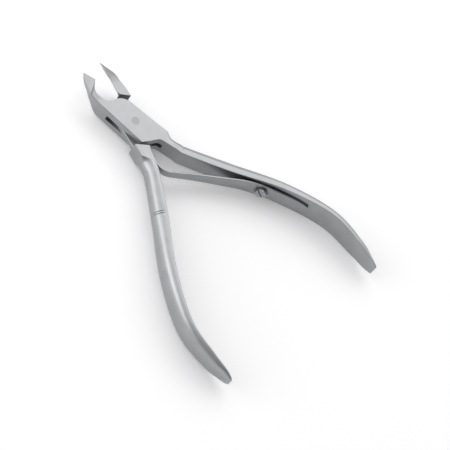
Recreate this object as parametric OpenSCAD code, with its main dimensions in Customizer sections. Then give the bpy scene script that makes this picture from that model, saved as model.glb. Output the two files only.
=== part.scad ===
// Cuticle nipper with a box joint, a riveted pivot and one leaf spring.
// The pivot axis is Z, the jaws point along +X and the handles along -X.
// The two levers are shown open, each turned by half of the jaw angle.

/* [Pivot box] */
// Height of the box joint along the pivot
box_h = 6.8; // [6:0.1:8]
// Half width of the box, from the pivot to its outer faces
box_half_w = 4.1; // [3.6:0.1:4.6]
// Diameter of the rivet
rivet_d = 2.5; // [2:0.1:3]
// Half width of the tenon lever at the root of its jaw
tenon_half_w = 3.6; // [3.4:0.1:3.9]
// Height of the lower face of the slot that the tenon runs in
slot_z = 2.2; // [1.8:0.1:2.6]
// Height of the slot
slot_h = 2; // [1.6:0.1:2.4]
// Play between the tenon and each slot face
tenon_play = 0.05; // [0.03:0.01:0.1]
// Play between the tenon bore and the rivet, on the radius
bore_play = 0.03; // [0.02:0.01:0.08]

/* [Jaws] */
// Angle between the two levers at rest, in degrees
jaw_open = 16.7; // [12:0.1:18]
// Distance from the pivot to the jaw tips
tip_x = 21.8; // [20:0.1:24]
// Distance from the pivot to the back end of the cutting edges
heel_x = 18; // [16:0.1:18.5]
// Height of the jaw tips
tip_z = 7.1; // [6:0.1:7.6]
// Height of the cutting edge at its back end
heel_z = 8; // [7.6:0.1:8.4]
// Depth of the hollow behind the blade on the box lever
box_hollow = 2.1; // [1.5:0.1:2.3]
// Depth of the hollow behind the blade on the tenon lever
tenon_hollow = 1; // [0.6:0.1:1.4]

/* [Handles] */
// Length of a handle behind the pivot
handle_l = 86; // [80:1:92]
// How far the inner face bows out from the closed centre line
handle_bow = 22; // [18:0.5:24]
// Greatest height of a handle
handle_h = 10; // [8.5:0.1:11]
// Greatest thickness of a handle
handle_t = 4; // [3.6:0.1:4.4]

/* [Leaf spring] */
// Thickness of the leaf
leaf_t = 0.6; // [0.4:0.05:0.7]
// Width of the leaf at its screw
leaf_w = 6.4; // [5.6:0.1:7]
// Width of the leaf at its free end
leaf_tip_w = 2.2; // [1.8:0.1:3]
// Height of the raised pad that the leaf is screwed to
pad_h = 0.35; // [0.2:0.05:0.5]
// Diameter of the screw thread
screw_d = 2; // [1.6:0.1:2.2]
// Diameter of the screw head
head_d = 3.8; // [3.4:0.1:4.2]
// Height of the screw head
head_h = 1.3; // [1:0.1:1.6]

/* [Hidden] */
$fn = 64;
half_open = jaw_open / 2;

// Smooth curve through rows of numbers, as a Catmull-Rom spline.
function knot(rows, i) = rows[max(0, min(len(rows) - 1, i))];
function spline_at(a, b, c, d, t) =
    0.5 * ((2 * b) + (c - a) * t + (2 * a - 5 * b + 4 * c - d) * t * t
    + (3 * b - a - 3 * c + d) * t * t * t);
function spline(rows, steps) = [
    for (i = [0 : len(rows) - 2])
        for (k = [0 : steps - 1])
            spline_at(knot(rows, i - 1), rows[i], rows[i + 1], knot(rows, i + 2), k / steps),
    rows[len(rows) - 1]
];
function unit(v) = v / norm(v);
function left_of(v) = [-v[1], v[0]];
function way(path, i) = unit([
    for (k = [0, 1]) path[min(len(path) - 1, i + 1)][k] - path[max(0, i - 1)][k]
]);

// Rows of the handle: x, inner face y, centre height, half height, thickness.
hh = handle_h / 2;
bow = handle_bow;
handle_rows = [
    [-9.5, 0.05 * bow, box_h / 2, box_h / 2 - 0.2, 0.85 * handle_t],
    [-18.6, 0.14 * bow, 3.7, 3.6, 0.9 * handle_t],
    [-31.6, 0.405 * bow, 4.1, 3.9, handle_t],
    [-48, 0.775 * bow, 4.2, 0.97 * hh, 0.88 * handle_t],
    [-64, bow, 4.2, hh, 0.74 * handle_t],
    [-76, 0.975 * bow, 4.2, 0.9 * hh, 0.68 * handle_t],
    [3.4 - handle_l, 0.93 * bow, 4.2, 0.74 * hh, 0.5 * handle_t],
    [1 - handle_l, 0.918 * bow, 4.2, 0.55 * hh, 0.36 * handle_t],
    [-handle_l, 0.912 * bow, 4.2, 0.34 * hh, 0.2 * handle_t]
];
path_steps = 3;
handle_path = spline(handle_rows, path_steps);

// D-shaped section: a flat inner face and a round outer face.
arc_steps = 12;
function d_ring(row, out) = [
    for (k = [0 : arc_steps])
        let (a = -90 + 180 * k / arc_steps)
        let (o = row[4] * pow(cos(a), 0.8))
        [row[0] + out[0] * o, row[1] + out[1] * o, row[2] + row[3] * sin(a)]
];

// Solid through a list of rings that all have the same number of points.
module loft(rings) {
    n = len(rings[0]);
    m = len(rings);
    points = [for (r = rings) for (p = r) p];
    sides = [
        for (i = [0 : m - 2])
            for (k = [0 : n - 1])
                let (a = i * n + k)
                let (b = i * n + (k + 1) % n)
                each [[a, b, b + n], [a, b + n, a + n]]
    ];
    first = [for (k = [n - 1 : -1 : 0]) k];
    last = [for (k = [0 : n - 1]) (m - 1) * n + k];
    polyhedron(points, concat(sides, [first, last]), convexity = 6);
}

// Handle on the +Y side, as it stands with the jaws closed.
module handle() {
    loft([
        for (i = [0 : len(handle_path) - 1])
            d_ring(handle_path[i], -left_of(way(handle_path, i)))
    ]);
}

// The full height of a lever ends here, where its jaw starts to thin.
jaw_x = 11.2;

// Rows of the jaw: x, inner y, outer y, inner top z, outer top z,
// outer bottom z, inner bottom z.
function jaw_rows(hollow, outer) = [
    [jaw_x, 0.7 * hollow, outer, box_h, box_h, 0, 0],
    [12.6, 0.95 * hollow, 0.97 * outer, box_h + 0.1, box_h + 0.05, 1.4, 4.2],
    [14.2, hollow, 0.9 * outer, box_h + 0.3, box_h + 0.2, 3.1, 5.8],
    [15.6, 0.85 * hollow, 0.8 * outer, box_h + 0.65, box_h + 0.45, 4.2, 6],
    [heel_x - 0.9, 0.45 * hollow, 0.67 * outer, heel_z - 0.2, box_h + 0.45, 4.7, 6.2],
    [heel_x, 0, 0.55 * outer, heel_z, box_h + 0.45, 4.95, 6.3],
    [heel_x + 2, 0, 0.32 * outer, (heel_z + tip_z) / 2, tip_z + 0.1, 5.6, 6.5],
    [tip_x, 0, 0.03 * outer, tip_z, tip_z, tip_z - 0.35, tip_z - 0.25]
];

// Jaw on the +Y side, as it stands closed.
module jaw(hollow, outer) {
    loft([
        for (r = jaw_rows(hollow, outer))
            [[r[0], r[2], r[4]], [r[0], r[2], r[5]], [r[0], r[1], r[6]], [r[0], r[1], r[3]]]
    ]);
}

module prism(z, h, outline) {
    translate([0, 0, z]) linear_extrude(h) polygon(outline);
}

module box_block() {
    prism(0, box_h, [
        [-6.1, box_half_w],
        [-10.1, -1.4],
        [-12.2, -2.1],
        [-12.2, -4.2],
        [-9.6, -box_half_w - 0.9],
        [5.4, -box_half_w],
        [7.4, -3.2],
        [9.2, -1.3],
        [9.6, 0.5],
        [jaw_x, 0.7 * box_hollow],
        [jaw_x, box_half_w]
    ]);
}

// Space in the box for the tenon, through both side faces and the rear.
module box_slot() {
    prism(slot_z, slot_h, [
        [7.5, box_half_w + 2],
        [7.5, box_half_w - 0.1],
        [9, 1.5],
        [11, 0.1],
        [11, -8],
        [-7, -8],
        [-7, -box_half_w - 1],
        [-9.7, -0.1],
        [-11, 1.4],
        [-11, box_half_w + 2]
    ]);
}

module rivet_bore(d) {
    translate([0, 0, -1]) cylinder(h = box_h + 2, d = d);
}

// The leaf is screwed on where the inner face passes this point of the path.
seat_i = 2 * path_steps + 2;
seat = handle_path[seat_i];
seat_way = way(handle_path, seat_i);
seat_angle = atan2(-seat_way[1], -seat_way[0]);
seat_z = seat[2];
// Gap that keeps the leaf just clear of its pad and of the screw head.
seat_play = 0.02;
// Half length of the straight part of the leaf on the pad.
seat_flat = head_d / 2 + 0.6;

// Places its children at the screw, with Z out of the inner face of the
// box lever's handle and X towards the jaws.
module at_seat() {
    translate([seat[0], -seat[1], seat_z])
        rotate([0, 0, -seat_angle])
            rotate([-90, 0, 0])
                children();
}

module box_lever() {
    color("silver")
        rotate([0, 0, half_open])
            difference() {
                union() {
                    difference() {
                        union() {
                            box_block();
                            jaw(box_hollow, box_half_w);
                        }
                        box_slot();
                    }
                    mirror([0, 1, 0]) handle();
                    at_seat() translate([0, 0, -1]) cylinder(h = 1 + pad_h - seat_play, d = head_d + 0.8);
                }
                rivet_bore(rivet_d);
                at_seat() translate([0, 0, -2.6]) cylinder(h = 4, d = screw_d);
            }
}

module tenon_block() {
    prism(0, box_h, [
        [7.9, -tenon_half_w],
        [9.8, -0.6],
        [10.6, -0.45],
        [jaw_x, -0.7 * tenon_hollow],
        [jaw_x, -tenon_half_w]
    ]);
    prism(0, box_h, [
        [-6.5, box_half_w + 0.3],
        [-9, 0.3],
        [-12, 1.35],
        [-12, 4.6],
        [-10.6, 4.7]
    ]);
    prism(slot_z + tenon_play, slot_h - 2 * tenon_play, [
        [7, box_half_w],
        [8.5, 1.5],
        [10.4, 0.1],
        [10.7, -1.5],
        [8.2, -3.2],
        [6.6, -3.9],
        [-6.6, -box_half_w],
        [-9, -0.1],
        [-10.4, 1.4],
        [-9.5, box_half_w]
    ]);
}

module tenon_lever() {
    color("gainsboro")
        rotate([0, 0, -half_open])
            difference() {
                union() {
                    mirror([0, 1, 0]) jaw(tenon_hollow, tenon_half_w);
                    tenon_block();
                    handle();
                }
                rivet_bore(rivet_d + 2 * bore_play);
            }
}

module pivot_rivet() {
    color("darkgray") cylinder(h = box_h, d = rivet_d);
}

// Row of the leaf beside the handle: x, y, half width. The point p of the
// handle's path and its direction say where, and lift how far off the wall.
function off_wall(p, dir, lift, half_width) =
    let (out = left_of(dir))
    [p[0] + out[0] * lift, -p[1] - out[1] * lift, half_width];

// The leaf from its free end to the pad.
tip_hw = leaf_tip_w / 2;
root_hw = leaf_w / 2;
on_pad = pad_h + leaf_t / 2;
front_rows = [
    [-13.2, 5.65, tip_hw],
    [-14.85, 6.2, tip_hw],
    [-16.6, 5.3, 1.1 * tip_hw],
    [-19.8, 3.1, 1.4 * tip_hw],
    [-25.5, -1.3, 1.8 * tip_hw],
    [-32.4, -7, 0.8 * root_hw],
    [-37, -10.6, 0.93 * root_hw],
    off_wall(seat - seat_flat * [seat_way[0], seat_way[1], 0, 0, 0], seat_way, on_pad, root_hw)
];

// The leaf from the pad to its toe, which closes in on the wall.
toe_share = 0.6;
toe = (1 - toe_share) * handle_path[seat_i + 2] + toe_share * handle_path[seat_i + 3];
rear_rows = [
    off_wall(seat + seat_flat * [seat_way[0], seat_way[1], 0, 0, 0], seat_way, on_pad, 0.96 * root_hw),
    off_wall(handle_path[seat_i + 1], way(handle_path, seat_i + 1), 0.8 * pad_h + leaf_t / 2, 0.88 * root_hw),
    off_wall(handle_path[seat_i + 2], way(handle_path, seat_i + 2), 0.3 * pad_h + leaf_t / 2, 0.76 * root_hw),
    off_wall(toe, way(handle_path, seat_i + 2), 0.1 + leaf_t / 2, 0.55 * root_hw)
];
leaf_path = concat(spline(front_rows, 4), spline(rear_rows, 4));

module leaf_spring() {
    n = len(leaf_path) - 1;
    color("gray")
        rotate([0, 0, half_open])
            difference() {
                intersection() {
                    prism(-1, box_h + 4, [
                        for (i = [0 : n]) side_point(i, leaf_t / 2),
                        for (i = [n : -1 : 0]) side_point(i, -leaf_t / 2)
                    ]);
                    translate([0, 30, seat_z]) rotate([90, 0, 0]) linear_extrude(80) polygon([
                        for (i = [0 : n]) [leaf_path[i][0], leaf_path[i][2]],
                        for (i = [n : -1 : 0]) [leaf_path[i][0], -leaf_path[i][2]]
                    ]);
                }
                at_seat() translate([0, 0, -2]) cylinder(h = 6, d = screw_d + 0.2);
            }
}

function side_point(i, off) =
    let (p = leaf_path[i])
    let (side = left_of(way(leaf_path, i)))
    [p[0] + side[0] * off, p[1] + side[1] * off];

module spring_screw() {
    color("lightgray")
        rotate([0, 0, half_open])
            at_seat()
                translate([0, 0, pad_h + leaf_t + seat_play])
                    difference() {
                        union() {
                            cylinder(h = head_h, d = head_d);
                            translate([0, 0, -2.4]) cylinder(h = 2.5, d = screw_d);
                        }
                        translate([-head_d, -0.3, head_h - 0.6]) cube([2 * head_d, 0.6, 1]);
                    }
}

box_lever();
tenon_lever();
pivot_rivet();
leaf_spring();
spring_screw();
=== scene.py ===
"""Looks of the cuticle nipper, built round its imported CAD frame.

Shapes are given in millimetres in the closed frame: the levers as they stand with the jaws shut, with the
box lever's jaw on +Y and its handle on -Y. The tenon lever is described the same way and then mirrored.
"""
import math

import bmesh
import bpy
from mathutils import Matrix, Vector


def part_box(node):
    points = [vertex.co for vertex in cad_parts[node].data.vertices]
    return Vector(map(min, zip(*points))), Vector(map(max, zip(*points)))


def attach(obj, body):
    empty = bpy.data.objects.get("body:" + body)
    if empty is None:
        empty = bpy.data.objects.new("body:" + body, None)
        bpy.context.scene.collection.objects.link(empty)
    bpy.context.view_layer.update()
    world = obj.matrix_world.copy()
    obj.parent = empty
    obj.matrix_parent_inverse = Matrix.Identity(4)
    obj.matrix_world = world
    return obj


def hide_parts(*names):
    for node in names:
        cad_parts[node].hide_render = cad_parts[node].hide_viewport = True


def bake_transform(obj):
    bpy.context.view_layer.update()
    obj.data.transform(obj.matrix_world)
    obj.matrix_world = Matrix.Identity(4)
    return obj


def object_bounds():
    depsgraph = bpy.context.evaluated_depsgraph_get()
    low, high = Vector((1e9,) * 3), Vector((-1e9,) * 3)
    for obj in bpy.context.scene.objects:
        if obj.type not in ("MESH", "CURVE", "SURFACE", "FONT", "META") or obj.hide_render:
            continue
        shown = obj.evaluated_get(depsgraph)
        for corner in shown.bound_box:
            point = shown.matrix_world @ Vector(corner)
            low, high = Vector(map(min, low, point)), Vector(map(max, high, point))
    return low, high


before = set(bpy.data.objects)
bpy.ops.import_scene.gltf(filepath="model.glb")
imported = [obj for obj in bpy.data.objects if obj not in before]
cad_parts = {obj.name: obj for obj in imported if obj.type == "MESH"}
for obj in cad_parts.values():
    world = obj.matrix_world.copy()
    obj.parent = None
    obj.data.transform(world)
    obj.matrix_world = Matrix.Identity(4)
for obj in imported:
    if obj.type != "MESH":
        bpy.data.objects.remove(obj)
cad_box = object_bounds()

MM = 0.001
JAW_OPEN = math.radians(16.7)  # angle between the levers at rest
BOX_TURN = Matrix.Rotation(JAW_OPEN / 2, 4, "Z")
TENON_TURN = Matrix.Rotation(-JAW_OPEN / 2, 4, "Z") @ Matrix.Diagonal((1, -1, 1, 1))
RIVET_LOW, RIVET_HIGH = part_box("pivot_rivet")
BOX_H = (RIVET_HIGH.z - RIVET_LOW.z) / MM
RIVET_R = (RIVET_HIGH.x - RIVET_LOW.x) / MM / 2
FLOOR_Z = cad_box[0].z


# ---------------------------------------------------------------- curves

BISECTIONS = 30


def spline_at(rows, i, t):
    """Catmull-Rom point of the segment that starts at row i, at share t."""
    a, b, c, d = (rows[max(0, min(len(rows) - 1, i + k))] for k in (-1, 0, 1, 2))
    return [
        0.5 * (
            2 * q + (r - p) * t + (2 * p - 5 * q + 4 * r - s) * t * t
            + (3 * q - p - 3 * r + s) * t ** 3
        )
        for p, q, r, s in zip(a, b, c, d)
    ]


def spline(rows, steps):
    """Smooth rows, with steps points to each segment and the last row at the end."""
    points = [spline_at(rows, i, k / steps) for i in range(len(rows) - 1) for k in range(steps)]
    return points + [list(rows[-1])]


def spline_at_x(rows, x):
    """The row of the smooth curve at x, where x falls along the rows."""
    i = max(k for k in range(len(rows) - 1) if rows[k][0] >= x or k == 0)
    low, high = 0.0, 1.0
    for _ in range(BISECTIONS):
        middle = (low + high) / 2
        if spline_at(rows, i, middle)[0] > x:
            low = middle
        else:
            high = middle
    return spline_at(rows, i, low)


def along(table, x):
    """Straight-line value of a table of (x, value) pairs, with x falling."""
    if x >= table[0][0]:
        return table[0][1]
    for (x0, v0), (x1, v1) in zip(table, table[1:]):
        if x >= x1:
            return v0 + (v1 - v0) * (x0 - x) / (x0 - x1)
    return table[-1][1]


# ---------------------------------------------------------------- meshes

PAST = 2.0  # how far a cutter goes past the face that it cuts
SINK = 1.0  # how far a form starts inside the solid that it joins or cuts


def mesh_object(name, verts, faces, marks=None, turn=None):
    """A closed mesh object from points in mm, turned into its place. marks gives each face its slot."""
    place = (turn or Matrix.Identity(4)) @ Matrix.Scale(MM, 4)
    mesh = bpy.data.meshes.new(name)
    mesh.from_pydata([place @ Vector(v) for v in verts], [], faces)
    if marks:
        mesh.polygons.foreach_set("material_index", marks)
    bm = bmesh.new()
    bm.from_mesh(mesh)
    bmesh.ops.recalc_face_normals(bm, faces=bm.faces)
    bm.to_mesh(mesh)
    bm.free()
    obj = bpy.data.objects.new(name, mesh)
    bpy.context.scene.collection.objects.link(obj)
    return obj


def loft(name, rings, bands=(), turn=None):
    """A closed solid through rings that all have the same number of points. Faces that start at a ring
    place in bands get material slot 1."""
    n = len(rings[0])
    verts = [p for ring in rings for p in ring]
    faces, marks = [], []
    for i in range(len(rings) - 1):
        for k in range(n):
            a, b = i * n + k, i * n + (k + 1) % n
            faces.append((a, b, b + n, a + n))
            marks.append(1 if k in bands else 0)
    last = (len(rings) - 1) * n
    faces += [tuple(range(n - 1, -1, -1)), tuple(range(last, last + n))]
    return mesh_object(name, verts, faces, marks + [0, 0], turn)


def prism(name, outline, low, high, turn=None):
    """A straight solid with that outline, from height low to height high."""
    return loft(name, [[(x, y, z) for x, y in outline] for z in (low, high)], turn=turn)


def revolved(name, profile, place, steps=64):
    """A solid of revolution about Z from (radius, z) points that start and end on the axis."""
    inner = profile[1:-1]
    turns = [2 * math.pi * k / steps for k in range(steps)]
    verts = [(0, 0, profile[0][1])]
    for r, z in inner:
        verts += [(r * math.cos(turn), r * math.sin(turn), z) for turn in turns]
    verts.append((0, 0, profile[-1][1]))
    end = len(verts) - 1
    faces = [(0, 1 + (k + 1) % steps, 1 + k) for k in range(steps)]
    for i in range(len(inner) - 1):
        a, b = 1 + i * steps, 1 + (i + 1) * steps
        faces += [(a + k, a + (k + 1) % steps, b + (k + 1) % steps, b + k) for k in range(steps)]
    a = end - steps
    faces += [(a + k, a + (k + 1) % steps, end) for k in range(steps)]
    return mesh_object(name, verts, faces, turn=place)


def cut(obj, *cutters, joined=()):
    """Joins the solids in joined to obj, takes the cutters away, and keeps the result as its mesh."""
    for operation, others in (("UNION", joined), ("DIFFERENCE", cutters)):
        for other in others:
            modifier = obj.modifiers.new(operation, "BOOLEAN")
            modifier.operation = operation
            modifier.solver = "EXACT"
            modifier.object = other
    bpy.context.view_layer.update()
    evaluated = obj.evaluated_get(bpy.context.evaluated_depsgraph_get())
    mesh = bpy.data.meshes.new_from_object(evaluated)
    obj.modifiers.clear()
    obj.data = mesh
    for other in (*joined, *cutters):
        bpy.data.objects.remove(other)


def smooth(obj, degrees=24):
    """Smooth shading, with a crease where faces meet at more than that angle."""
    obj.data.shade_smooth()
    obj.data.set_sharp_from_angle(angle=math.radians(degrees))
    return obj


# ---------------------------------------------------------------- lever sections

EDGE = 0.13         # width of the broken edges
LIP = 0.03          # width of the broken edge beside the round side of a handle
TIP_EDGE = 0.03     # width of the broken edges near a jaw's tip
JAW_STEPS = 6       # rings to each row of a jaw
TIP_REACH = 1.0     # how far behind the heel the jaw's edges are already that fine
FACE_POINTS = 5     # points up the left face of a section
BEND_POINTS = 11    # points round each bend of the right side
SIDE_POINTS = 3     # points up the flat between the two bends
ROUNDNESS = 0.8     # how soon the round side leaves the flat strip
STRIP = 0.5         # flat strip from which the round side is drawn
STEP = 0.05         # drop from the strip to the round side
MIN_SIDE = 0.12     # half height of the flat that is left between the bends
MIN_ARC = 0.01      # least angle that a bend turns through
FIRST_BEND = 0.01   # where the first bend point lies, as a share of the way to the second
GROOVE_FADE = 4     # how quickly a groove deepens from the strip
SQUARE_BEND = 0.04  # height that the bend points take up on a square side
EDGE_BANDS = (      # ring places whose faces are the broken edges
    FACE_POINTS - 1, FACE_POINTS, FACE_POINTS + 1, FACE_POINTS + 2 * BEND_POINTS + SIDE_POINTS + 2,
)


def section(left, right, tops, bottoms, edge=EDGE, lean=0.0, handle=None):
    """One ring of a lever, from the left point to the right one. tops and bottoms are the heights at the
    two sides. The foot of the right side is set back by lean. That side is square, unless handle gives its
    round form: the strip that is flat here, the strip from which the round side is drawn, the half height
    of the flat side, how much of the run-out is left at a distance from the left face, and the depth of a
    groove."""
    (lx, ly), (rx, ry) = left, right
    width = math.hypot(rx - lx, ry - ly)
    edge = min(edge, width / 4, (tops[0] - bottoms[0]) / 6, (tops[1] - bottoms[1]) / 6)

    def point(o, z):
        return (lx + (rx - lx) * o / width, ly + (ry - ly) * o / width, z)

    def top(o):
        return tops[0] + (tops[1] - tops[0]) * o / width

    def bottom(o):
        return bottoms[0] + (bottoms[1] - bottoms[0]) * o / width

    low, high = bottoms[0] + edge, tops[0] - edge
    face = [point(0, low + (high - low) * k / (FACE_POINTS - 1)) for k in range(FACE_POINTS)]
    middle, half = (top(width) + bottom(width)) / 2, (top(width) - bottom(width)) / 2
    if handle is None:
        flat, lip = width, edge
        bend = [(width, half - edge - SQUARE_BEND * (k + 1) / BEND_POINTS) for k in range(BEND_POINTS)]
    else:
        strip, base, side, run, groove = handle
        flat, lip = strip, LIP
        high_d = half - STEP
        least = math.asin(max(side, MIN_SIDE) / high_d)
        reach = (width - base) / math.cos(least) ** ROUNDNESS
        share = min(1.0, (strip - base) / reach)
        most = max(math.acos(share ** (1 / ROUNDNESS)), least + MIN_ARC)
        bend = []
        for k in range(BEND_POINTS):
            a = most + (least - most) * (k + FIRST_BEND) / (BEND_POINTS - 1 + FIRST_BEND)
            o, z = base + reach * math.cos(a) ** ROUNDNESS, high_d * math.sin(a)
            ease = math.sin(math.pi / 2 * min(1.0, GROOVE_FADE * k / BEND_POINTS))
            raised = z + (half - lip - z) * run(o)
            bend.append((o - groove * math.cos(a) * ease, raised - groove * math.sin(a) * ease))
    z = bend[-1][1]
    side_face = [(bend[-1][0], z - 2 * z * (k + 1) / (SIDE_POINTS + 1)) for k in range(SIDE_POINTS)]
    outer = bend + side_face + [(o, -z) for o, z in reversed(bend)]
    outer = [(o - lean * (half - z) / (2 * half), z) for o, z in outer]
    foot = flat - lean
    return (
        face
        + [point(edge, top(edge)), point(flat - lip, top(flat)), point(flat, top(flat) - lip)]
        + [point(o, middle + z) for o, z in outer]
        + [point(foot, bottom(flat) + lip), point(foot - lip, bottom(flat)), point(edge, bottom(edge))]
    )


def jaw_sections(to_crest, to_tip):
    """Rings of a jaw, tip first. Rows are outer x, y, top z, bottom z, then inner x, y, top z, bottom z, and
    the lean of the inner side. The two groups of rows meet at the crest, a sharp line from the outer edge
    to the heel."""
    rows = spline(to_crest, JAW_STEPS)[1:] + spline([to_crest[-1]] + to_tip, JAW_STEPS)[1:]
    crest_x = to_crest[-1][4]
    rings = []
    for ox, oy, ot, ob, ix, iy, it, ib, lean in reversed(rows):
        sharp = TIP_EDGE if ix >= crest_x - TIP_REACH else EDGE
        rings.append(section((ox, oy), (ix, iy), (ot, it), (ob, ib), sharp, lean))
    return rings


def flat_sections(pairs, low=0.0, high=BOX_H):
    """Square rings between left and right points, at the box's full height or from low to high."""
    return [section(left, right, (high, high), (low, low)) for left, right in pairs]


# ---------------------------------------------------------------- handles

# Rows of a handle: x, inner face y, centre height, half height, thickness. One of the two ends follows.
HANDLE = [
    (-18.6, 3.08, 3.7, 3.6, 3.75),
    (-31.6, 8.91, 4.1, 3.9, 4.0),
    (-48.0, 17.05, 4.2, 4.85, 3.52),
    (-64.0, 22.0, 4.2, 4.98, 2.96),
    (-76.0, 21.35, 4.2, 4.45, 2.45),
]
BLUNT_END = [
    (-81.8, 20.33, 4.2, 3.5, 1.6),
    (-84.1, 20.0, 4.2, 2.85, 1.2),
    (-85.1, 19.85, 4.2, 2.3, 0.7),
]
ROUND_END = [
    (-81.3, 20.4, 4.2, 3.55, 1.65),
    (-83.6, 20.05, 4.2, 2.75, 1.25),
    (-84.6, 19.93, 4.2, 2.05, 0.95),
    (-85.2, 19.85, 4.2, 1.2, 0.55),
]
END_START, HANDLE_TIP = -82.0, -85.1
ROOT_STEP, BODY_STEP, END_STEP = 0.15, 0.7, 0.2  # spacing of the rings along a handle
END_GAP = 0.3       # space between the last body ring and the first end ring
MIN_GAP = 0.12      # least space between a groove's ring and another
WAY_STEP = 0.2      # distance over which a handle's direction is taken
RUN_OUT = 1.9       # length of the hollow that leads from the square root to the round handle
GROOVE_DEPTH = 0.17
GROOVE_HALF = 0.14  # half width of a groove
RING_GROOVES = (-30.0, -30.65)
SAME_X = 0.01       # how close a ring must be to a groove's x to be its floor


def handle_sections(root, end, shoulder, strips, sides, xs, grooves=(), flat=STRIP):
    """Rings of a handle on -Y at each x. root and end give the rows before and after the shared ones.
    shoulder is the slanting line where the square root ends, as two (x, distance from the inner face)
    pairs. strips and sides give the flat beside the inner face and the half height of the flat side as
    (x, value) pairs. grooves gives the x of each fine groove, and flat the strip from which the round side
    is drawn."""
    rows = root + HANDLE + end
    (x0, wide), (x1, narrow) = shoulder
    slope = (x1 - x0) / (wide - narrow)
    rings = []
    for x in xs:
        row, ahead, behind = (spline_at_x(rows, x + d) for d in (0, WAY_STEP, -WAY_STEP))
        way = Vector((behind[0] - ahead[0], ahead[1] - behind[1])).normalized()
        out = Vector((way.y, -way.x))
        out = out if out.y < 0 else -out
        left = Vector((row[0], -row[1]))

        def run(o):
            past = x0 + slope * (wide - o) - (x + out.x * o)
            return max(0.0, 1 - max(0.0, past) / RUN_OUT) ** 2

        crossing = (x0 + slope * wide - x) / (out.x + slope)
        strip = min(row[4] - 2 * LIP, max(crossing, along(strips, x)))
        depth = GROOVE_DEPTH if any(abs(x - g) < SAME_X for g in grooves) else 0.0
        top, low = row[2] + row[3], row[2] - row[3]
        sizes = (strip, min(flat, strip), along(sides, x), run, depth)
        rings.append(section(left, left + out * row[4], (top, top), (low, low), handle=sizes))
    return rings


def stations(start, end, step, extra=()):
    """Falling x values from start to end, with the extra ones among them."""
    count = round((start - end) / step)
    xs = [start - (start - end) * k / count for k in range(count + 1)]
    xs = [x for x in xs if all(abs(x - e) > MIN_GAP for e in extra)]
    return sorted(xs + list(extra), reverse=True)


def handle_stations(start, root_end, body_start, extra=()):
    """The x of every ring of a handle, close together at the root and at the end."""
    return (
        stations(start, root_end, ROOT_STEP)
        + stations(body_start, END_START, BODY_STEP, extra)
        + stations(END_START - END_GAP, HANDLE_TIP, END_STEP)
    )


# ---------------------------------------------------------------- box lever

SLOT_LOW, SLOT_HIGH = 2.2, 4.2
HAIRLINE = 0.01                      # gap round the rivet where it meets the box
BORE_LOW, BORE_HIGH = -1.0, 9.0      # the bores' cutters pass the levers at both faces
PAD_R, PAD_TOP, PAD_EDGE = 2.3, 0.33, 0.06
THREAD_R, THREAD_DEPTH = 1.02, 2.7   # the screw's hole


def bore_cutter(play, turn):
    """A cylinder round the rivet with that play."""
    radius = RIVET_R + play
    profile = [(0, BORE_LOW), (radius, BORE_LOW), (radius, BORE_HIGH), (0, BORE_HIGH)]
    return revolved("bore_cutter", profile, turn)


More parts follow.
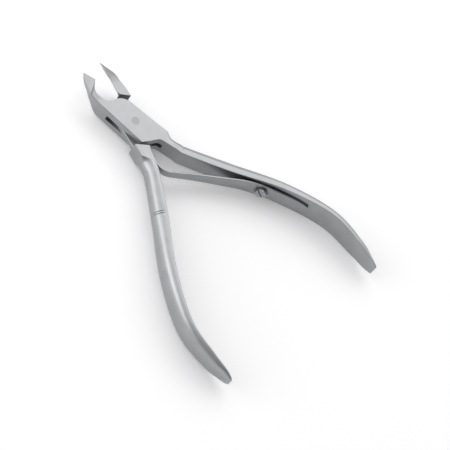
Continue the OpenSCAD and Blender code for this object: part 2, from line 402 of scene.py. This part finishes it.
def box_lever():
    """The left jaw, the box with its slot, and the right handle with the pad for the leaf."""
    jaw = jaw_sections(
        [
            (11.2, 4.16, 6.8, 0.32, 11.2, 1.7, 6.8, 0.3, 0),
            (12.4, 4.16, 6.84, 1.2, 12.6, 2.04, 6.88, 4.0, 0),
            (13.6, 4.14, 6.94, 2.5, 14.2, 2.16, 7.04, 5.6, 0),
            (14.6, 4.12, 7.1, 3.8, 15.5, 1.8, 7.25, 6.0, 0),
            (15.2, 4.1, 7.24, 4.4, 16.6, 1.02, 7.75, 6.2, 0),
            (15.6, 4.06, 7.35, 4.7, 17.65, -0.15, 8.75, 6.4, 0),
        ],
        [
            (17.2, 3.12, 7.3, 5.2, 18.5, -0.12, 8.42, 6.3, 0),
            (19.4, 1.95, 7.22, 5.6, 19.9, -0.08, 7.87, 6.3, 0),
            (20.8, 0.9, 7.18, 6.0, 21.0, -0.04, 7.44, 6.3, 0),
            (21.7, 0.06, 7.15, 6.5, 21.72, -0.02, 7.15, 6.55, 0),
        ],
    )
    block = [section((10.9, 4.15), (10.8, 1.45), (BOX_H, BOX_H), (0.14, 0.12))] + flat_sections([
        ((10.4, 4.14), (10.2, 1.12)),
        ((10.0, 4.13), (9.75, 0.62)),
        ((9.5, 4.12), (9.42, -0.1)),
        ((9.1, 4.12), (9.25, -0.85)),
        ((8.6, 4.1), (8.8, -1.75)),
        ((7.9, 4.1), (8.0, -2.75)),
        ((7.1, 4.1), (7.1, -3.4)),
        ((6.0, 4.1), (6.0, -3.85)),
        ((4.5, 4.1), (4.5, -4.05)),
        ((2.0, 4.08), (2.0, -4.2)),
        ((-2.0, 4.05), (-2.0, -4.5)),
        ((-5.95, 4.03), (-6.2, -4.85)),
        ((-6.12, 3.9), (-6.7, -4.9)),
        ((-7.46, 2.0), (-7.8, -5.0)),
        ((-9.1, -0.75), (-9.0, -5.1)),
        ((-9.6, -1.2), (-9.55, -5.1)),
    ])
    handle = handle_sections(
        root=[(-9.9, 1.33, 3.4, 3.4, 3.7), (-12.9, 1.95, 3.42, 3.42, 3.2), (-15.7, 2.5, 3.5, 3.5, 3.45)],
        end=BLUNT_END,
        shoulder=[(-9.7, 3.6), (-11.8, 0.95)],
        strips=[(-12.0, 1.15), (-48.0, 1.1), (-70.0, 0.6), (-80.0, 0.45), (-86.0, 0.25)],
        sides=[(-9.7, 2.6), (-12.0, 1.3), (-15.0, 0.5), (-20.0, 0.15)],
        xs=handle_stations(-10.35, -14.4, -15.0),
        flat=1.1,
    )
    lever = loft("box_lever_steel", jaw + block + handle, EDGE_BANDS, BOX_TURN)
    slot = prism("slot_cutter", [
        (7.5, 7), (7.5, 4.0), (9, 1.5), (11, 0.1), (11, -8), (-7, -8), (-7, -5.6),
        (-9.1, -2.6), (-10.5, -2.1), (-11, -1.7), (-11.1, -1.2), (-11, 7),
    ], SLOT_LOW, SLOT_HIGH, BOX_TURN)
    pad = revolved("pad_form", [
        (0, -SINK), (PAD_R, -SINK), (PAD_R, PAD_TOP - PAD_EDGE), (PAD_R - PAD_EDGE, PAD_TOP), (0, PAD_TOP),
    ], BOX_TURN @ seat())
    thread = revolved("thread_cutter", [
        (0, -THREAD_DEPTH), (THREAD_R, -THREAD_DEPTH), (THREAD_R, PAST), (0, PAST),
    ], BOX_TURN @ seat())
    cut(lever, slot, bore_cutter(HAIRLINE, BOX_TURN), thread, joined=[pad])
    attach(lever, "box_half")
    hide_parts("box_lever")
    return smooth(lever)


# ---------------------------------------------------------------- tenon lever

TENON_PLAY = 0.05  # gap between the tenon and each side of the slot
BORE_PLAY = 0.03   # gap between the rivet and the bore in the tenon


def tenon_lever():
    """The right jaw, the tenon that runs in the slot, and the left handle with its ring grooves."""
    groove_rings = [g + d for g in RING_GROOVES for d in (GROOVE_HALF, 0, -GROOVE_HALF)]
    jaw = jaw_sections(
        [
            (9.0, 3.6, 6.8, 0.0, 10.3, 0.34, 6.8, 3.9, 0.6),
            (10.2, 3.58, 6.8, 0.0, 10.8, 0.08, 6.8, 4.4, 1.05),
            (11.2, 3.55, 6.8, 0.3, 11.5, 0.12, 6.82, 4.6, 1.0),
            (12.4, 3.4, 6.82, 1.4, 12.9, 0.22, 6.92, 5.0, 0.75),
            (13.5, 3.22, 6.88, 2.6, 14.5, 0.34, 7.1, 5.6, 0.55),
            (14.5, 3.1, 6.96, 3.8, 16.3, 0.36, 7.5, 5.8, 0.55),
            (15.4, 2.98, 7.1, 4.7, 17.6, 0.18, 8.0, 6.0, 0.6),
        ],
        [
            (17.2, 2.5, 7.14, 5.2, 18.6, 0.22, 7.78, 6.0, 0.5),
            (19.4, 1.4, 7.18, 5.8, 19.9, 0.28, 7.5, 6.2, 0.35),
            (20.6, 0.9, 7.17, 6.3, 20.8, 0.34, 7.3, 6.5, 0.2),
            (21.48, 0.46, 7.15, 6.7, 21.5, 0.38, 7.15, 6.75, 0.0),
        ],
    )
    block = [section((7.9, 3.6), (9.8, 0.58), (BOX_H, BOX_H), (0, 2.15))]
    tenon = flat_sections([
        ((7.88, 3.5), (9.76, 0.62)),
        ((7.4, 3.6), (9.5, -0.5)),
        ((6.9, 3.75), (8.5, -1.5)),
        ((6.6, 3.85), (7.0, -4.1)),
        ((0.0, 3.98), (0.0, -4.1)),
        ((-6.3, 4.05), (-5.0, -4.1)),
        ((-8.8, 0.3), (-6.3, -4.2)),
        ((-9.0, -0.32), (-6.52, -4.4)),
    ], SLOT_LOW + TENON_PLAY, SLOT_HIGH - TENON_PLAY)
    root = flat_sections([
        ((-9.02, -0.3), (-6.54, -4.44)),
        ((-9.4, -0.45), (-7.6, -4.5)),
        ((-9.8, -0.6), (-9.0, -4.58)),
    ])
    handle = handle_sections(
        root=[(-10.2, 0.78, 3.4, 3.4, 3.82), (-12.0, 1.15, 3.41, 3.41, 3.8), (-15.4, 1.95, 3.5, 3.5, 3.82)],
        end=ROUND_END,
        shoulder=[(-10.7, 3.7), (-12.9, 1.5)],
        strips=[
            (-13.5, 1.4), (-17.1, 1.3), (-19.6, 1.1), (-23.0, 0.85),
            (-30.0, 0.6), (-80.0, 0.45), (-86.0, 0.25),
        ],
        sides=[(-10.7, 2.6), (-13.2, 1.3), (-16.0, 0.6), (-21.0, 0.15)],
        xs=handle_stations(-10.3, -15.6, -16.2, groove_rings),
        grooves=RING_GROOVES,
    )
    lever = loft("tenon_lever_steel", jaw + block + tenon + root + handle, EDGE_BANDS, TENON_TURN)
    cut(lever, bore_cutter(BORE_PLAY, TENON_TURN))
    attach(lever, "tenon_half")
    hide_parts("tenon_lever")
    return smooth(lever)


# ---------------------------------------------------------------- leaf spring and its screw

LEAF_T = 0.6                 # thickness of the leaf
LEAF_EDGE = 0.1              # width of the leaf's broken edges
LEAF_EDGE_BANDS = (4, 6, 11, 13)  # ring places whose faces are the broken edges
FRONT_STEPS, REAR_STEPS = 9, 6
PAD_H = 0.35                 # height of the leaf's back over the handle at the screw
SEAT_AT = (1, 2 / 3)         # handle row, and share of the way to the next one, where the screw is
WAY_SHARE = 1 / 3            # share of a row's length over which the direction is taken
HEAD_R, HEAD_H = 1.9, 1.3    # head of the screw
HEAD_ROUND = [(0, 0.3), (0.08, 0.14), (0.3, 0.02), (0.6, 0)]  # in from the side, down from the top
HEAD_FOOT = [(0.12, 0.28), (0, 0.18)]                         # in from the side, below the leaf's face
SHANK_R, SHANK_L, SHANK_BEVEL, SHANK_TOP = 1.0, 2.4, 0.15, 0.3
SEAT_FLAT = HEAD_R + 0.6     # half length of the straight part of the leaf at the screw
SEAT_PLAY = 0.02             # gap under the screw head
HOLE_R = 1.1                 # radius of the hole in the leaf
# The shallow recess round the screw head: radius at its floor and at its rim, depth, dish of the floor, and
# how far over the leaf's face the rim of the cutter lies.
RECESS_R, RECESS_RIM, RECESS_DEPTH, RECESS_DISH, RECESS_LIFT = 2.15, 2.45, 0.3, 0.04, 0.05
SLOT_TURN = math.radians(-51)
SLOT_HALF, SLOT_DEPTH, SLOT_REACH = 0.27, 0.6, 3.0  # the screw's slot; its cutter passes the head

# The leaf from its free end to the screw: x, y, half width.
LEAF_FRONT = [
    (-12.6, 4.6, 1.25),
    (-14.3, 5.2, 1.35),
    (-16.3, 5.3, 1.45),
    (-18.4, 4.55, 1.6),
    (-21.0, 2.4, 1.8),
    (-25.8, -1.75, 2.08),
    (-32.4, -7.0, 2.56),
    (-37.0, -10.6, 2.98),
]
SEAT_WIDTHS = (3.2, 3.07)    # half widths ahead of the screw and behind it
# The leaf behind the screw: handle row, share of the way to the next one, gap to the handle, half width.
LEAF_REAR = [
    (2, 0, 0.8 * PAD_H, 2.8),
    (2, 1 / 3, 0.3 * PAD_H, 2.4),
    (2, 0.53, 0.1, 1.7),
]


def handle_point(segment, share):
    """Point, direction and height of the box lever's inner face, between two handle rows."""
    rows = [(-9.5, 1.1, 3.4, 3.2, 3.4)] + HANDLE + BLUNT_END
    ahead, here, behind = (spline_at(rows, segment + 1, share + d) for d in (-WAY_SHARE, 0, WAY_SHARE))
    way = Vector((behind[0] - ahead[0], ahead[1] - behind[1])).normalized()
    return Vector((here[0], -here[1])), way, here[2]


def seat():
    """Frame at the screw: Z out of the inner face of the handle, X towards the jaws."""
    point, way, height = handle_point(*SEAT_AT)
    out = Vector((-way.y, way.x, 0))
    out = out if out.y > 0 else -out
    forward = Vector((-way.x, -way.y, 0))
    side = out.cross(forward)
    turn = Matrix((forward, side, out)).transposed().to_4x4()
    return Matrix.Translation((point.x * MM, point.y * MM, height * MM)) @ turn


def off_wall(point, way, gap, half):
    """Row of the leaf that stands off the handle's inner face by the gap."""
    out = Vector((-way.y, way.x))
    out = out if out.y > 0 else -out
    lift = gap + LEAF_T / 2
    return (point.x + out.x * lift, point.y + out.y * lift, half)


def leaf_rows():
    """Rows of the leaf from its free end to its toe: x, y, half width."""
    point, way, _ = handle_point(*SEAT_AT)
    ahead, behind = SEAT_WIDTHS
    front = LEAF_FRONT + [off_wall(point - way * SEAT_FLAT, way, PAD_H, ahead)]
    rear = [off_wall(point + way * SEAT_FLAT, way, PAD_H, behind)]
    for segment, share, gap, half in LEAF_REAR:
        spot, direction, _ = handle_point(segment, share)
        rear.append(off_wall(spot, direction, gap, half))
    return spline(front, FRONT_STEPS) + spline(rear, REAR_STEPS)


def leaf_spring():
    """The leaf, which bends where its free arm leaves the part that is screwed down."""
    rows = leaf_rows()
    centre = handle_point(*SEAT_AT)[2]
    t, e = LEAF_T / 2, LEAF_EDGE
    rings = []
    for i, (x, y, half) in enumerate(rows):
        ahead, behind = rows[max(0, i - 1)], rows[min(len(rows) - 1, i + 1)]
        way = Vector((behind[0] - ahead[0], behind[1] - ahead[1])).normalized()
        side = Vector((-way.y, way.x))
        outline = [
            (t, e - half), (t, -half / 2), (t, 0), (t, half / 2), (t, half - e), (t - e, half),
            (e - t, half), (-t, half - e), (-t, half / 2), (-t, 0), (-t, -half / 2), (-t, e - half),
            (e - t, -half), (t - e, -half),
        ]
        rings.append([(x + side.x * o, y + side.y * o, centre + z) for o, z in outline])
    leaf = loft("leaf_spring_steel", rings, LEAF_EDGE_BANDS, BOX_TURN)
    face = PAD_H + LEAF_T
    floor = face - RECESS_DEPTH
    recess = revolved("recess_cutter", [
        (0, -SINK), (HOLE_R, -SINK), (HOLE_R, floor - RECESS_DISH), (RECESS_R, floor),
        (RECESS_RIM, face + RECESS_LIFT), (RECESS_RIM, face + PAST), (0, face + PAST),
    ], BOX_TURN @ seat())
    cut(leaf, recess)
    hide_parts("leaf_spring")
    smooth(leaf)
    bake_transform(leaf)
    return leaf


def spring_screw():
    """The slotted cheese-head screw, with its shank in the handle."""
    base = PAD_H + LEAF_T + SEAT_PLAY
    lift = Matrix.Translation((0, 0, base * MM))
    place = BOX_TURN @ seat() @ lift @ Matrix.Rotation(SLOT_TURN, 4, "Z")
    shank = [
        (0, -SHANK_L), (SHANK_R - SHANK_BEVEL, -SHANK_L), (SHANK_R, SHANK_BEVEL - SHANK_L),
        (SHANK_R, -SHANK_TOP),
    ]
    head = [(HEAD_R - a, -b) for a, b in HEAD_FOOT] + [(HEAD_R - a, HEAD_H - b) for a, b in HEAD_ROUND]
    screw = revolved("spring_screw_steel", shank + head + [(0, HEAD_H)], place)
    far, half = SLOT_REACH, SLOT_HALF
    outline = [(-far, -half), (far, -half), (far, half), (-far, half)]
    slot = prism("screw_slot_cutter", outline, HEAD_H - SLOT_DEPTH, HEAD_H + 1, place)
    cut(screw, slot)
    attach(screw, "box_half")
    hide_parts("spring_screw")
    return smooth(screw)


RIVET_RIM = 0.03    # width of the rivet's broken edges
RIVET_SUNK = 0.01   # how far the rivet's ends lie under the faces of the box


def pivot_rivet():
    """The rivet, ground almost flush with both faces of the box."""
    low, high, rim = RIVET_SUNK, BOX_H - RIVET_SUNK, RIVET_RIM
    rivet = revolved("pivot_rivet_steel", [
        (0, low), (RIVET_R - rim, low), (RIVET_R, rim),
        (RIVET_R, BOX_H - rim), (RIVET_R - rim, high), (0, high),
    ], Matrix.Identity(4))
    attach(rivet, "box_half")
    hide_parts("pivot_rivet")
    return smooth(rivet)


# ---------------------------------------------------------------- materials

GRAIN_SCALE = 9000.0
STREAK_SCALE, STREAK_STRETCH = 2600.0, (0.05, 1, 1)
CLOUD_SCALE = 260.0
NOISE_LOW, NOISE_HIGH = 0.3, 0.7    # the part of a noise's range that is used
GRAIN_GLOSS, STREAK_GLOSS, CLOUD_GLOSS = 0.05, 0.03, 0.025
GRAIN_TINT = 0.2
DARKER, LIGHTER = 0.94, 1.06        # the range of the tint round its shade
RELIEF = 0.00004                    # height of the grain, in metres


def satin_steel(name, shade, roughness, streak=1.0, bump=0.12):
    """Satin steel: fine blasted grain, faint long streaks and cloudy patches, all set in object space."""
    material = bpy.data.materials.new(name)
    material.use_nodes = True
    nodes, links = material.node_tree.nodes, material.node_tree.links
    shader = nodes["Principled BSDF"]
    shader.inputs["Metallic"].default_value = 1.0
    place = nodes.new("ShaderNodeTexCoord")

    def noise(scale, stretch, detail):
        mapping = nodes.new("ShaderNodeMapping")
        mapping.inputs["Scale"].default_value = stretch
        links.new(place.outputs["Object"], mapping.inputs["Vector"])
        texture = nodes.new("ShaderNodeTexNoise")
        texture.inputs["Scale"].default_value = scale
        texture.inputs["Detail"].default_value = detail
        links.new(mapping.outputs["Vector"], texture.inputs["Vector"])
        return texture.outputs["Fac"]

    def ramp(value, low, high):
        spread = nodes.new("ShaderNodeMapRange")
        spread.inputs["From Min"].default_value = NOISE_LOW
        spread.inputs["From Max"].default_value = NOISE_HIGH
        spread.inputs["To Min"].default_value = low
        spread.inputs["To Max"].default_value = high
        links.new(value, spread.inputs["Value"])
        return spread.outputs["Result"]

    def add(a, b):
        total = nodes.new("ShaderNodeMath")
        total.operation = "ADD"
        links.new(a, total.inputs[0])
        links.new(b, total.inputs[1])
        return total.outputs["Value"]

    grains = noise(GRAIN_SCALE, (1, 1, 1), 2)
    streaks = noise(STREAK_SCALE, STREAK_STRETCH, 3)
    clouds = noise(CLOUD_SCALE, (1, 1, 1), 3)
    fine = ramp(grains, roughness - GRAIN_GLOSS, roughness + GRAIN_GLOSS)
    brushed = ramp(streaks, -STREAK_GLOSS * streak, STREAK_GLOSS * streak)
    cloudy = ramp(clouds, -CLOUD_GLOSS, CLOUD_GLOSS)
    links.new(add(add(fine, brushed), cloudy), shader.inputs["Roughness"])
    tint = nodes.new("ShaderNodeMix")
    tint.data_type = "RGBA"
    tint.inputs["A"].default_value = (*[c * DARKER for c in shade], 1)
    tint.inputs["B"].default_value = (*[c * LIGHTER for c in shade], 1)
    links.new(ramp(add(ramp(grains, -GRAIN_TINT, GRAIN_TINT), clouds), 0, 1), tint.inputs["Factor"])
    links.new(tint.outputs["Result"], shader.inputs["Base Color"])
    relief = nodes.new("ShaderNodeBump")
    relief.inputs["Strength"].default_value = bump
    relief.inputs["Distance"].default_value = RELIEF
    links.new(add(grains, streaks), relief.inputs["Height"])
    links.new(relief.outputs["Normal"], shader.inputs["Normal"])
    return material


def paint(obj, *materials):
    """Gives obj its materials, in the order of its faces' slots."""
    obj.data.materials.clear()
    for material in materials:
        obj.data.materials.append(material)


# ---------------------------------------------------------------- the object

lever_steel = satin_steel("lever_satin", (0.372, 0.38, 0.388), 0.35)
edge_steel = satin_steel("edge_polish", (0.42, 0.43, 0.44), 0.27, bump=0.05)
rivet_steel = satin_steel("rivet_satin", (0.325, 0.33, 0.337), 0.4)
spring_steel = satin_steel("spring_satin", (0.35, 0.355, 0.365), 0.34, streak=2.0)
screw_steel = satin_steel("screw_satin", (0.36, 0.365, 0.375), 0.3, bump=0.2)

paint(box_lever(), lever_steel, edge_steel)
paint(tenon_lever(), lever_steel, edge_steel)
paint(leaf_spring(), spring_steel, edge_steel)
paint(spring_screw(), screw_steel)
paint(pivot_rivet(), rivet_steel)


# ---------------------------------------------------------------- stage

# The camera: how far it leans from straight above, its turn about Z, its roll, and its distance in metres.
VIEW_TILT = math.radians(31.25)
VIEW_TURN = math.radians(12.02)
VIEW_ROLL = math.radians(39.42)
VIEW_DISTANCE = 0.922
VIEW_LENS = 239.7
AIM = Vector((-0.0420, -0.0026, 0.0030))  # where the camera and the lights point, in metres


def camera():
    """The photo's view: leaning from straight above, turned about Z, and rolled about the line of sight."""
    across = Vector((-math.cos(VIEW_TURN), -math.sin(VIEW_TURN), 0))
    level = Vector((-math.sin(VIEW_TURN), math.cos(VIEW_TURN), 0))
    back = math.cos(VIEW_TILT) * Vector((0, 0, 1)) + math.sin(VIEW_TILT) * level
    down = -math.sin(VIEW_TILT) * Vector((0, 0, 1)) + math.cos(VIEW_TILT) * level
    right = math.cos(VIEW_ROLL) * across - math.sin(VIEW_ROLL) * down
    up = -(math.sin(VIEW_ROLL) * across + math.cos(VIEW_ROLL) * down)
    data = bpy.data.cameras.new("camera")
    data.lens = VIEW_LENS
    data.clip_start = 0.01
    cam = bpy.data.objects.new("camera", data)
    turn = Matrix((right, up, back)).transposed().to_4x4()
    cam.matrix_world = Matrix.Translation(AIM + back * VIEW_DISTANCE) @ turn
    bpy.context.scene.collection.objects.link(cam)
    bpy.context.scene.camera = cam


def softbox(name, azimuth, elevation, distance, size, strength):
    """A square area light that faces the object. Azimuth is measured from +X towards +Y."""
    a, e = math.radians(azimuth), math.radians(elevation)
    way = Vector((math.cos(e) * math.cos(a), math.cos(e) * math.sin(a), math.sin(e)))
    data = bpy.data.lights.new(name, "AREA")
    data.size = size
    data.energy = strength * size * size * math.pi
    light = bpy.data.objects.new(name, data)
    light.location = AIM + way * distance
    light.rotation_mode = "QUATERNION"
    light.rotation_quaternion = (-way).to_track_quat("-Z", "Y")
    bpy.context.scene.collection.objects.link(light)


TENT_RADIUS = 0.9
PANEL_SIZE = 0.42
# Soft panels of the light tent, row by row: elevation, then azimuth and strength of each panel. The tent is
# open on the side of the camera.
TENT = (
    (68, ((0, 0.5), (60, 0.27), (300, 0.9))),
    (45, ((0, 0.97), (40, 1.01), (80, 0.13), (240, 0.88), (280, 1.62), (320, 1.26))),
    (25, ((0, 0.76), (30, 1.45), (60, 1.0), (210, 0.37), (240, 0.59), (270, 0.4), (300, 0.47), (330, 0.61))),
    (8, ((15, 0.89), (45, 1.89), (75, 0.64), (225, 0.16), (255, 0.09), (285, 0.07), (315, 0.11), (345, 0.2))),
)


FLOOR_REACH = 3.0       # half the side of the floor, in metres
FLOOR_SHADE = (0.92, 0.92, 0.925, 1)
FLOOR_GLOW = 0.14       # keeps the shadow on the floor faint
AIR_SHADE = (0.42, 0.42, 0.425, 1)  # even light from the surroundings


def stage():
    """A pale floor, even light from all round, and the light tent."""
    far = FLOOR_REACH / MM
    corners = [(-far, -far, 0), (far, -far, 0), (far, far, 0), (-far, far, 0)]
    floor = mesh_object("floor", corners, [(0, 1, 2, 3)], turn=Matrix.Translation((0, 0, FLOOR_Z)))
    white = bpy.data.materials.new("floor_white")
    white.use_nodes = True
    inputs = white.node_tree.nodes["Principled BSDF"].inputs
    inputs["Base Color"].default_value = FLOOR_SHADE
    inputs["Roughness"].default_value = 0.9
    inputs["Specular IOR Level"].default_value = 0.1
    inputs["Emission Color"].default_value = (1, 1, 1, 1)
    inputs["Emission Strength"].default_value = FLOOR_GLOW
    paint(floor, white)
    world = bpy.data.worlds.new("studio")
    world.use_nodes = True
    world.node_tree.nodes["Background"].inputs["Color"].default_value = AIR_SHADE
    bpy.context.scene.world = world
    for elevation, panels in TENT:
        for azimuth, strength in panels:
            softbox(f"panel_{elevation}_{azimuth}", azimuth, elevation, TENT_RADIUS, PANEL_SIZE, strength)


camera()
stage()
bpy.context.scene.view_settings.view_transform = "Standard"
